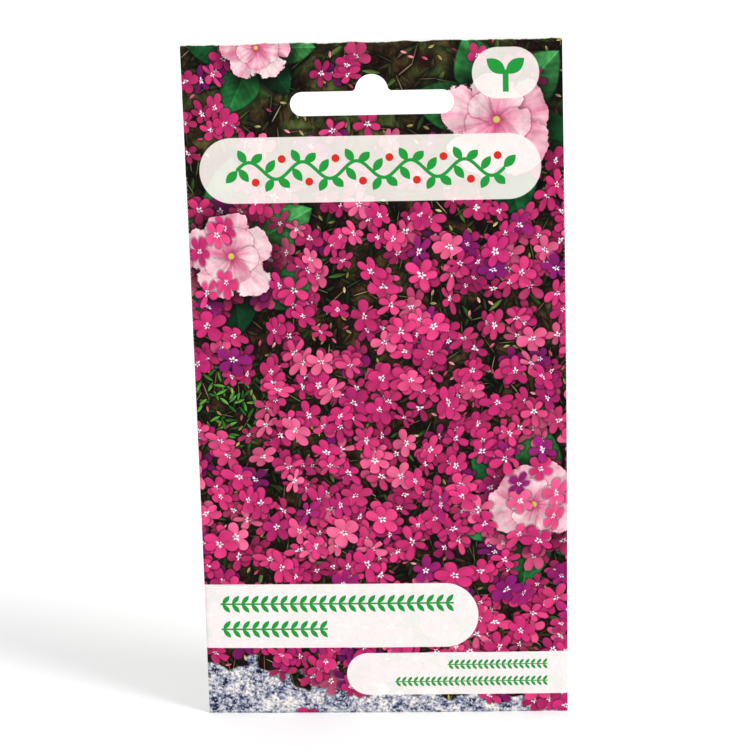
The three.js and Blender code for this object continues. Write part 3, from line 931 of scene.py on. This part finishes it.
def print_material(name, place, with_banners):
    """place(t, x, y, z) gives the two coordinates on the flat sheet."""
    t = Tree(name)
    mm = t.object_mm()
    x, y, z = t.xyz(mm)
    P = t.join(*place(t, x, y, z), 0.0)
    c, px, pz = meadow(t, P)
    if with_banners:
        c = banners(t, c, px, pz)
    # folds and cut edges rubbed down to the white paper
    bent = t.mul(t.m("SINE", t.mul(z, math.pi / HEIGHT)), 0.19)
    middle = t.m("DIVIDE", t.sub(z, 78.0), 38.0)
    bent = t.mad(t.m("EXPONENT", t.mul(t.mul(middle, middle), -1.0)), t.mul(x, 0.11 / HALF), bent)
    side = t.m("ABSOLUTE", t.sub(x, bent))
    scuff = t.noise(mm, scale=0.9, detail=4.0, rough=0.7, dims="3D")
    near = t.range(side, HALF - 0.40, HALF + 0.05, 0.0, 0.50)
    worn = t.mul(t.range(t.add(near, scuff), 1.02, 1.16), 0.6)
    chips = t.mad(t.noise(mm, scale=0.17, detail=1.0, dims="3D"), 0.9, t.mul(t.noise(mm, scale=0.8, detail=2.0, rough=0.7, dims="3D"), 0.5))
    top = t.range(z, HEIGHT - 0.75, HEIGHT - 0.10, 0.0, 0.80)
    worn = t.m("MAXIMUM", worn, t.range(t.add(top, chips), 1.08, 1.30))
    c = t.mix(worn, c, ink(240, 238, 236))
    colour = to_light(t, c)
    rough = t.mad(t.noise(mm, scale=0.25, detail=3.0, dims="3D"), 0.12, 0.34)
    return t.surface(colour, rough, paper_normal(t, mm), Specular_IOR_Level=0.07)


def box(t, x, z, x0, z0, x1, z1):
    """How far (x, z) lies inside an upright rectangle."""
    dx = t.sub((x1 - x0) / 2, t.m("ABSOLUTE", t.sub(x, (x0 + x1) / 2)))
    dz = t.sub((z1 - z0) / 2, t.m("ABSOLUTE", t.sub(z, (z0 + z1) / 2)))
    return t.m("MINIMUM", dx, dz)


def outline(t, inside, width):
    """A line of that width along an edge."""
    return t.range(t.sub(width / 2, t.m("ABSOLUTE", inside)), -0.03, 0.03)


LEAF_GREEN = ink(64, 142, 84)


def back_print():
    """The back: pale paper with a plain sowing calendar, a sprout and leaf ornaments."""
    t = Tree("back_print")
    mm = t.object_mm()
    across_, y, z = t.xyz(mm)
    x = t.mul(across_, -1.0)      # as read from behind
    blotch = t.noise(mm, scale=0.06, detail=2.0, dims="3D")
    c = t.mix(blotch, ink(247, 244, 236), ink(240, 240, 229))
    # a tinted header with a thin line under it
    tint = t.range(z, 117.9, 118.0)
    c = t.mix(t.mul(tint, 0.9), c, ink(206, 226, 200))
    c = t.mix(outline(t, t.sub(z, 116.9), 0.30), c, LEAF_GREEN)
    # a sprout in a ring
    ring = t.sub(6.6, t.v("LENGTH", t.join(x, t.sub(z, 103.5), 0.0)))
    c = t.mix(outline(t, ring, 0.45), c, LEAF_GREEN)
    c = t.mix(sprout(t, x, z, 0.0, 102.9, 8.4), c, LEAF_GREEN)
    c = t.mix(leaf_row(t, x, z, -23.2, 8, 103.5, 1.7, 2.9), c, LEAF_GREEN)
    c = t.mix(leaf_row(t, x, z, 9.6, 8, 103.5, 1.7, 2.9), c, LEAF_GREEN)
    # twelve months in three rows
    left_, low, cell, high = -24.0, 66.0, 4.0, 5.2
    column, row = t.m("FLOOR", t.m("DIVIDE", t.sub(x, left_), cell)), t.m("FLOOR", t.m("DIVIDE", t.sub(z, low), high))
    grid = box(t, x, z, left_, low, left_ + 12 * cell, low + 3 * high)
    within_grid = t.range(grid, -0.03, 0.03)
    for at_row, first, last, colour in ((2, 1, 3, ink(120, 178, 104)), (1, 4, 5, ink(232, 190, 96)), (0, 5, 9, ink(206, 84, 134))):
        hit = t.m("COMPARE", row, float(at_row), 0.1)
        hit = t.mul(hit, t.m("COMPARE", column, (first + last) / 2, (last - first) / 2 + 0.1))
        c = t.mix(t.mul(t.mul(hit, within_grid), 0.85), c, colour)
    fx = t.m("ABSOLUTE", t.sub(t.m("FRACT", t.add(t.m("DIVIDE", t.sub(x, left_), cell), 0.5)), 0.5))
    fz = t.m("ABSOLUTE", t.sub(t.m("FRACT", t.add(t.m("DIVIDE", t.sub(z, low), high), 0.5)), 0.5))
    lines = t.m("MAXIMUM", t.range(t.mul(fx, cell), 0.16, 0.10), t.range(t.mul(fz, high), 0.16, 0.10))
    lines = t.mul(lines, t.range(grid, -0.16, -0.10))
    c = t.mix(lines, c, ink(120, 150, 122))
    # two framed fields and a vine under them
    for x0, z0, x1, z1 in ((-24.0, 34.0, -1.2, 60.0), (1.2, 34.0, 24.0, 60.0)):
        field = box(t, x, z, x0, z0, x1, z1)
        c = t.mix(t.mul(t.range(field, -0.03, 0.03), 0.55), c, ink(228, 238, 220))
        c = t.mix(outline(t, field, 0.28), c, LEAF_GREEN)
    for cx, leafy in ((-12.6, 1.0), (12.6, -1.0)):
        px, pz = t.mul(t.sub(x, cx), leafy), t.sub(z, 47.0)
        plant = t.m("MINIMUM", t.sub(0.24, t.m("ABSOLUTE", px)), t.sub(8.6, t.m("ABSOLUTE", pz)))
        for az, angle, size in ((-6.4, 0.5, 6.4), (-3.4, 2.6, 6.2), (-0.2, 0.6, 5.6), (2.6, 2.5, 5.0), (5.2, 0.8, 4.2), (7.6, 1.75, 4.4)):
            plant = t.m("MAXIMUM", plant, lens(t, px, t.sub(pz, az), angle, size, 0.22))
        c = t.mix(t.range(plant, -0.04, 0.06), c, LEAF_GREEN)
    green, berries = vine(t, x, z, -23.4, 5, 24.0, 9.2, 1.4)
    c = t.mix(green, c, LEAF_GREEN)
    c = t.mix(berries, c, ink(206, 84, 134))
    scuff = t.noise(mm, scale=0.5, detail=4.0, rough=0.7, dims="3D")
    c = t.shade(c, t.mad(scuff, 0.05, 0.972))
    colour = to_light(t, c)
    return t.surface(colour, t.mad(scuff, 0.14, 0.38), paper_normal(t, mm), Specular_IOR_Level=0.3)


def flap_print(name, kind):
    """A flap of the front sheet: the picture runs a little past the fold, and the rest is pale."""
    t = Tree(name)
    mm = t.object_mm()
    x, y, z = t.xyz(mm)
    blotch = t.noise(mm, scale=0.06, detail=2.0, dims="3D")
    c = t.mix(blotch, ink(248, 246, 240), ink(242, 241, 233))
    scuff = t.noise(mm, scale=0.9, detail=4.0, rough=0.7, dims="3D")
    if kind == "side":  # outwards past the side folds
        past = t.sub(HALF - 0.05, t.m("ABSOLUTE", x))
        right_ = t.m("SIGN", x)
        P = t.join(t.mul(right_, t.add(past, HALF)), z, 0.0)
        ground = t.ramp(t.noise(P, scale=0.16, detail=3.0), [(0.32, ink(16, 8, 6)), (0.6, ink(40, 30, 20)), (0.85, ink(62, 56, 36))])
        line = t.mad(t.m("LESS_THAN", x, 0.0), 9.6, 2.4)
        ground = t.mix(t.range(t.sub(line, z), -0.3, 0.6), ground, pebbles(t, P))
        bleed = flower_layer(t, P, ground, 7.4, 0.35, (31.3, 12.9), 0.98, 0.72, 3.3)
        bleed = flower_layer(t, P, bleed, 7.7, 1.25, (-12.6, 44.1), 0.92, 0.88, 11.9)
        bleed = flower_layer(t, P, bleed, 8.0, 0.85, (-71.4, -22.3), 0.70, 1.0, 41.7)
        right_veil = t.sub(4.65, t.m("ABSOLUTE", t.sub(z, 8.65)))
        left_veil = t.sub(6.95, t.m("ABSOLUTE", t.sub(z, 21.45)))
        veil = t.blend(t.m("GREATER_THAN", x, 0.0), left_veil, right_veil)
        bleed = t.mix(t.mul(t.range(veil, -0.05, 0.07), 0.925), bleed, ink(253, 251, 246))
        c = t.mix(t.range(past, 1.68, 1.74), bleed, c)
        near = t.range(past, 0.0, 0.5, 0.46, 0.0)
        c = t.mix(t.mul(t.range(t.add(near, scuff), 1.0, 1.14), 0.6), c, ink(240, 238, 236))
    elif kind == "foot":  # downwards past the front fold
        past = t.add(y, 3.0)
        c = t.mix(t.range(past, 1.68, 1.74), pebbles(t, t.join(x, t.mul(past, -1.0), 0.0)), c)
    c = t.shade(c, t.mad(scuff, 0.05, 0.972))
    return t.surface(to_light(t, c), t.mad(scuff, 0.14, 0.36), paper_normal(t, mm), Specular_IOR_Level=0.2)


def plain_paper(name, tint, roughness):
    t = Tree(name)
    mm = t.object_mm()
    fibre = t.noise(mm, scale=2.8, detail=4.0, rough=0.7, dims="3D")
    cloud = t.noise(mm, scale=0.3, detail=2.0, dims="3D")
    c = t.shade(t.mix(cloud, tint, tuple(0.97 * v for v in tint[:3]) + (1.0,)), t.mad(fibre, 0.08, 0.95))
    return t.surface(to_light(t, c), roughness, paper_normal(t, mm, 3.0))


inside = plain_paper("paper_inside", ink(238, 236, 230), 0.8)
cut = plain_paper("paper_cut_edge", ink(244, 242, 238), 0.9)
front_print = print_material("front_print", lambda t, x, y, z: (x, z), True)
for m in (front_print, inside, cut):
    front.data.materials.append(m)


side_print = flap_print("side_print", "side")
for piece, m in ((back, back_print()), (flaps["left_flap"], side_print), (flaps["right_flap"], side_print),
                 (bottom, flap_print("bottom_print", "bottom")), (foot, flap_print("foot_print", "foot"))):
    for each in (m, inside, cut):
        piece.data.materials.append(each)

# ------------------------------------------------------------------ what is inside
def glue_look():
    t = Tree("dried_glue")
    mm = t.object_mm()
    n = t.noise(mm, scale=0.8, detail=3.0, dims="3D")
    c = t.ramp(n, [(0.3, ink(222, 212, 182)), (0.7, ink(238, 232, 212))])
    return t.surface(to_light(t, c), t.mad(n, 0.3, 0.35), t.bump(n, 0.00003, 0.5))


def film_look():
    t = Tree("clear_film")
    mm = t.object_mm()
    n = t.noise(mm, scale=0.15, detail=3.0, dims="3D")
    c = t.ramp(n, [(0.3, ink(214, 220, 224)), (0.7, ink(232, 236, 238))])
    return t.surface(to_light(t, c), t.mad(n, 0.15, 0.12), t.bump(n, 0.0002, 0.4), IOR=1.5)


def seed_look():
    t = Tree("clay_pellet")
    mm = t.object_mm()
    n = t.noise(mm, scale=2.2, detail=4.0, rough=0.65, dims="3D")
    c = t.ramp(n, [(0.3, ink(146, 98, 52)), (0.55, ink(186, 138, 84)), (0.8, ink(214, 176, 124))])
    return t.surface(to_light(t, c), 0.85, t.bump(n, 0.00008, 0.7))


glue, film, clay = glue_look(), film_look(), seed_look()
looks = {"left_flap_glue": glue, "right_flap_glue": glue, "bottom_flap_glue": glue, "header_glue": glue,
         "sachet_front_film": film, "sachet_back_film": film, "seeds": clay}
for name, m in looks.items():
    o = nodes[name]
    o.data.materials.clear()
    o.data.materials.append(m)

# ------------------------------------------------------------------ what stands for what
for piece, node, slot in ((front, "front_panel", "printed_paper"), (back, "back_panel", "back_paper"),
                          (flaps["left_flap"], "left_flap", "printed_paper"), (flaps["right_flap"], "right_flap", "printed_paper"),
                          (foot, "foot_panel", "printed_paper"), (bottom, "bottom_flap", "printed_paper")):
    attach(piece, "root")
    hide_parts(node)

# ------------------------------------------------------------------ camera
camera_data = bpy.data.cameras.new("camera")
camera_data.sensor_fit = "HORIZONTAL"
camera_data.sensor_width = 36.0
camera_data.lens = 2429.69 / 750 * 36.0
camera_data.clip_start, camera_data.clip_end = 0.01, 50
camera = bpy.data.objects.new("camera", camera_data)
right = Vector((0.99840251, 0.04937507, -0.02746848))
up = Vector((0.01371017, 0.25991794, 0.96553337))
back_way = Vector((0.05481282, -0.96436754, 0.25882578))
turn = Matrix((right, up, back_way)).transposed().to_4x4()
camera.matrix_world = Matrix.Translation((0.02614169, -0.47492984, 0.19980511)) @ turn
bpy.context.scene.collection.objects.link(camera)
bpy.context.scene.camera = camera

# ------------------------------------------------------------------ floor and light
def floor_look():
    t = Tree("floor")
    mm = t.object_mm()
    n = t.noise(mm, scale=0.02, detail=2.0, dims="3D")
    c = t.mix(n, (0.96, 0.96, 0.96, 1), (0.98, 0.98, 0.98, 1))
    return t.surface(c, 0.9, None, Specular_IOR_Level=0.0)


# flat to 2.6 m, then a gentle sweep up on all sides, so that every view ends in the same plain white
profile = [(0.3, 0.0), (0.8, 0.0), (1.6, 0.0), (2.6, 0.0)]
profile += [(2.6 + 1.8 * math.sin(a), 1.8 * (1 - math.cos(a))) for a in (math.radians(2.2 * i) for i in range(1, 11))]
profile.append((8.0, profile[-1][1] + (8.0 - profile[-1][0]) * math.tan(math.radians(22))))
ROUND = 96
points = [(0.0, 0.0, 0.0)] + [(r * math.cos(TAU * i / ROUND), r * math.sin(TAU * i / ROUND), h) for r, h in profile for i in range(ROUND)]
tiles = [(0, 1 + i, 1 + (i + 1) % ROUND) for i in range(ROUND)]
for ring in range(len(profile) - 1):
    low, high = 1 + ring * ROUND, 1 + (ring + 1) * ROUND
    tiles += [(low + i, high + i, high + (i + 1) % ROUND, low + (i + 1) % ROUND) for i in range(ROUND)]
floor_mesh = bpy.data.meshes.new("floor")
floor_mesh.from_pydata(points, [], tiles)
floor_mesh.polygons.foreach_set("use_smooth", [True] * len(tiles))
floor = bpy.data.objects.new("floor", floor_mesh)
floor.data.materials.append(floor_look())
bpy.context.scene.collection.objects.link(floor)

world = bpy.data.worlds.new("studio")
world.use_nodes = True
bpy.context.scene.world = world
sky = world.node_tree.nodes["Background"]
sky.inputs["Color"].default_value = (1, 1, 1, 1)
sky.inputs["Strength"].default_value = 0.845


key_data = bpy.data.lights.new("key", "SUN")
key_data.angle = math.radians(20)
key_data.energy = 1.60
key = bpy.data.objects.new("key", key_data)
key.location = (0.5, -0.27, 0.45)
key.rotation_mode = "QUATERNION"
key.rotation_quaternion = Vector((0.6932, -0.3748, 0.6157)).to_track_quat("Z", "Y")
bpy.context.scene.collection.objects.link(key)

scene = bpy.context.scene
scene.view_settings.view_transform = "Standard"
scene.view_settings.look = "None"
scene.view_settings.exposure = 0.0
scene.view_settings.gamma = 1.0
